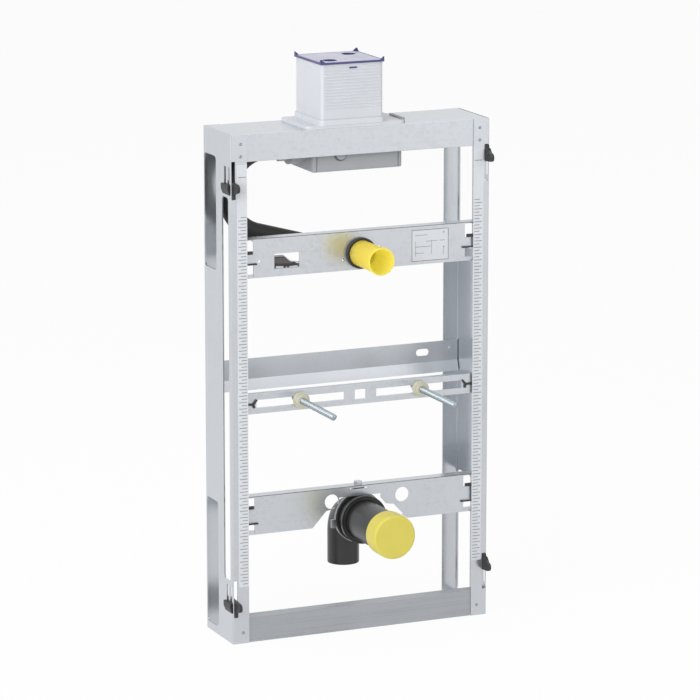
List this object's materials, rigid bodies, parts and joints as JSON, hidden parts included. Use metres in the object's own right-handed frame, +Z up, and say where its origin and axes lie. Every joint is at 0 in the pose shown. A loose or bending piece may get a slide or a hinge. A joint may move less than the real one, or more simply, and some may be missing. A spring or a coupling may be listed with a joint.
{
  "type": "urinal installation frame",
  "caption": "Galvanised sheet-metal wall frame with flush valve shaft, water inlet, ceramic studs and drain bend, locked at its sides by sliding levers.",
  "frame": {"origin": "middle of the bottom rail's underside, where the frame stands", "axes": "+X to the right seen from the front, +Y to the rear, +Z up"},
  "size_m": [0.4388, 0.237, 0.895],
  "materials": {
    "galvanised_steel": "hot-dip galvanised",
    "rail_steel": "dull galvanised",
    "zinc_plated_steel": "zinc plated",
    "black_plastic": "moulded",
    "hose_rubber": "matt",
    "drain_plastic": "extruded",
    "yellow_plastic": "translucent moulded",
    "cap_plastic": "moulded",
    "white_plastic": "moulded",
    "blue_plastic": "moulded",
    "grey_housing": "moulded",
    "cream_plastic": "moulded"
  },
  "bodies": {
    "frame": {"left_side_panel": "galvanised_steel", "right_side_panel": "galvanised_steel", "top_rail": "galvanised_steel", "bottom_rail": "rail_steel", "rear_rail": "galvanised_steel", "inlet_plate": "galvanised_steel", "stud_rail": "galvanised_steel", "drain_plate": "galvanised_steel", "inlet_plate_clips": "black_plastic", "stud_rail_clips": "black_plastic", "drain_plate_clips": "black_plastic", "left_stud": "zinc_plated_steel", "right_stud": "zinc_plated_steel", "left_stud_nut": "zinc_plated_steel", "right_stud_nut": "zinc_plated_steel", "left_stud_bushing": "cream_plastic", "right_stud_bushing": "cream_plastic", "inlet_collar": "black_plastic", "inlet_plug": "yellow_plastic", "inlet_elbow": "black_plastic", "supply_hose": "hose_rubber", "valve_hose_nut": "grey_housing", "elbow_hose_nut": "black_plastic", "plate_insert": "black_plastic", "valve_housing": "grey_housing", "shaft_base": "white_plastic", "shaft_box": "white_plastic", "shaft_lid": "blue_plastic", "base_retainer": "grey_housing", "drain_elbow": "black_plastic", "drain_pipe": "drain_plastic", "drain_collar": "black_plastic", "drain_cap": "cap_plastic", "pipe_clamp": "zinc_plated_steel", "clamp_lining": "hose_rubber", "clamp_bolt": "zinc_plated_steel"},
    "lower_left_lock": {"lower_left_lever": "black_plastic"},
    "upper_left_lock": {"upper_left_lever": "black_plastic"},
    "lower_right_lock": {"lower_right_lever": "black_plastic"},
    "upper_right_lock": {"upper_right_lever": "black_plastic"}
  },
  "joints": [
    {"name": "lower_left_lever_slide", "type": "slide", "parent": "frame", "child": "lower_left_lock", "axis": [0, 0, 1], "range_m": [0, 0.028]},
    {"name": "upper_left_lever_slide", "type": "slide", "parent": "frame", "child": "upper_left_lock", "axis": [0, 0, 1], "range_m": [0, 0.028]},
    {"name": "lower_right_lever_slide", "type": "slide", "parent": "frame", "child": "lower_right_lock", "axis": [0, 0, 1], "range_m": [-0.028, 0]},
    {"name": "upper_right_lever_slide", "type": "slide", "parent": "frame", "child": "upper_right_lock", "axis": [0, 0, 1], "range_m": [-0.028, 0]}
  ]
}
